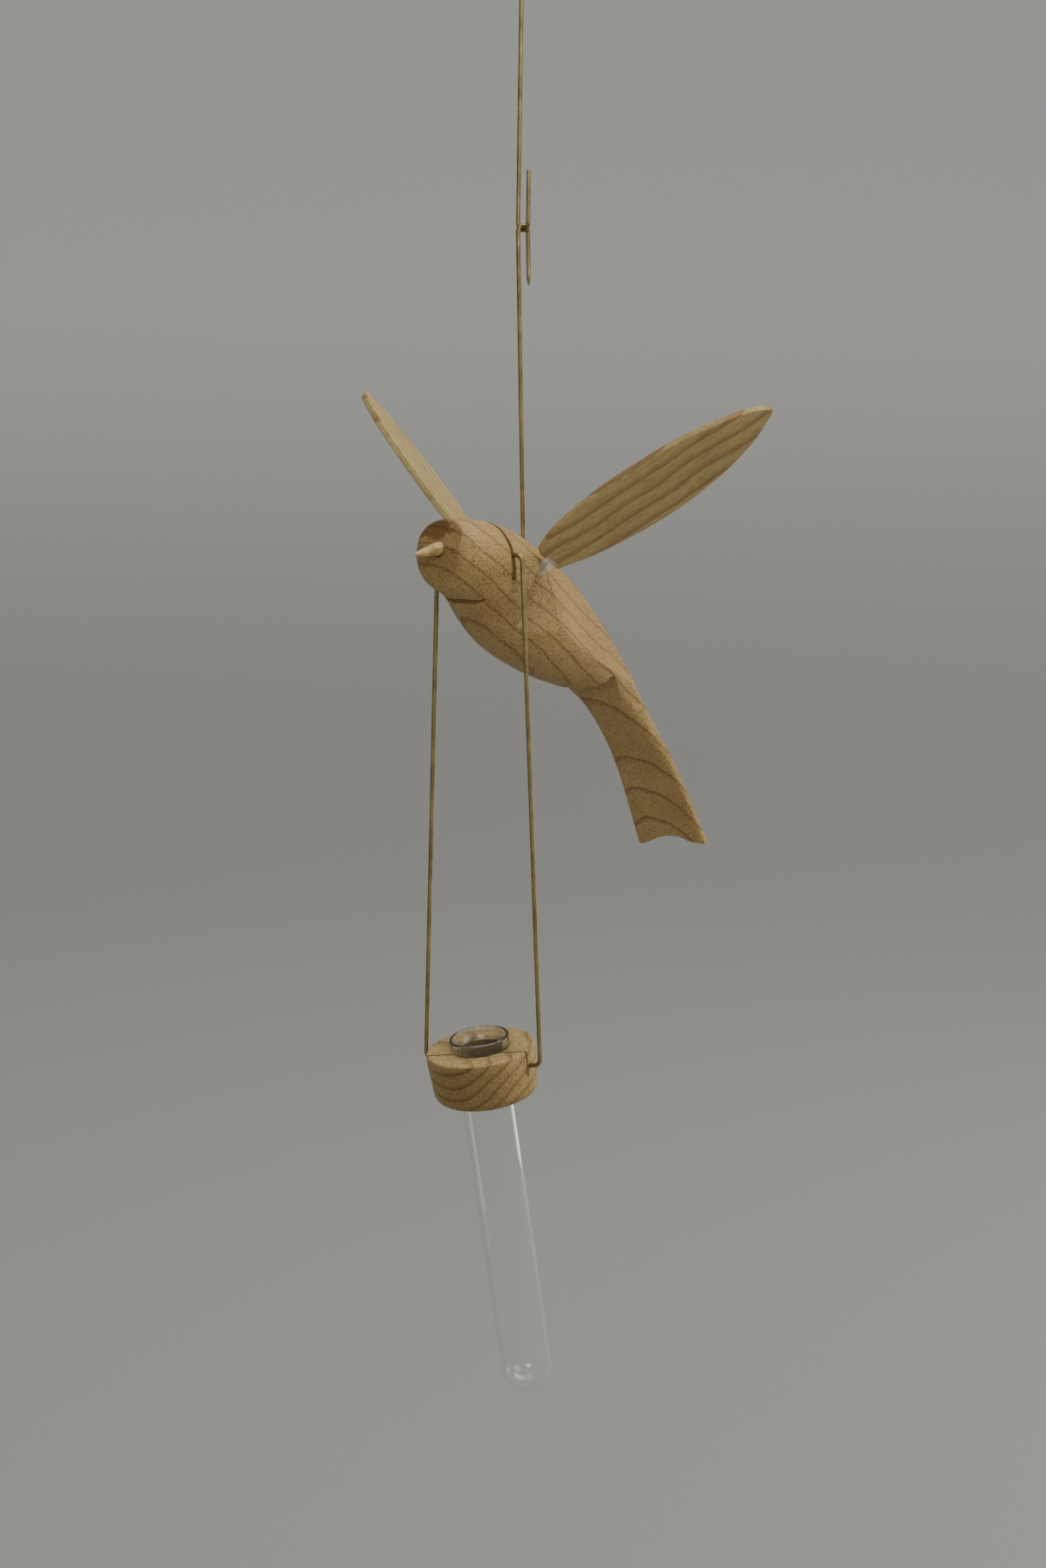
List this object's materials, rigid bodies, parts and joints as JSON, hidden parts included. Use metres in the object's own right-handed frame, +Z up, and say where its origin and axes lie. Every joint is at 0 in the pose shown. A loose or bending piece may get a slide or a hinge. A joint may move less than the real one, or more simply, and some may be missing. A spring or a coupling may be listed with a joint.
{
  "type": "hanging bud vase with carved bird",
  "caption": "Carved wooden bird hung from brass wire hooks, with flexible wings, carrying a glass tube bud vase in a turned wooden collar on a wire yoke.",
  "frame": {"origin": "centre of the hanging eye at the top of the upper wire", "axes": "+Z up, the bird flies towards -Y, and its left wing points to +X"},
  "size_m": [0.1424, 0.122, 0.422],
  "materials": {
    "brass_wire": "drawn wire, lightly tarnished satin",
    "carved_wood": "knife carved, oiled, satin",
    "pale_wood": "whittled, satin",
    "wing_wood": "thin planed wood with straight grain, satin",
    "turned_wood": "turned and sanded, satin",
    "clear_strip": "clear flexible sheet",
    "tube_glass": "clear blown glass, fire polished lip"
  },
  "bodies": {
    "hanger": {"hanger_wire": "brass_wire"},
    "bird": {"suspension_wire": "brass_wire", "bird_body": "carved_wood", "beak": "pale_wood"},
    "left_wing": {"left_wing": "wing_wood", "left_wing_strip": "clear_strip"},
    "right_wing": {"right_wing": "wing_wood", "right_wing_strip": "clear_strip"},
    "yoke": {"yoke_wire": "brass_wire"},
    "collar": {"collar": "turned_wood"},
    "tube": {"test_tube": "tube_glass"}
  },
  "joints": [
    {"name": "hook_swing", "type": "hinge", "parent": "hanger", "child": "bird", "pos_m": [0, 0, -0.0876], "axis": [0.9925, -0.1219, 0], "range_deg": [-60, 60]},
    {"name": "left_wing_flap", "type": "hinge", "parent": "bird", "child": "left_wing", "pos_m": [0.00986, -0.00529, -0.17892], "axis": [0.0442, 0.8786, -0.4755], "range_deg": [-10, 10], "stiffness_Nm_per_rad": 0.05},
    {"name": "right_wing_flap", "type": "hinge", "parent": "bird", "child": "right_wing", "pos_m": [-0.00986, -0.00529, -0.17892], "axis": [0.0442, -0.8786, 0.4755], "range_deg": [-10, 10], "stiffness_Nm_per_rad": 0.05},
    {"name": "yoke_swing", "type": "hinge", "parent": "bird", "child": "yoke", "pos_m": [0, -0.0192, -0.1735], "axis": [1, 0, 0], "range_deg": [-30, 30]},
    {"name": "collar_swing", "type": "hinge", "parent": "yoke", "child": "collar", "pos_m": [0, -0.0184, -0.3163], "axis": [0.9853, 0.1561, 0.0698], "range_deg": [-60, 60]},
    {"name": "tube_lift", "type": "slide", "parent": "collar", "child": "tube", "axis": [-0.0447, -0.1585, 0.9863], "range_m": [0, 0.095]}
  ]
}
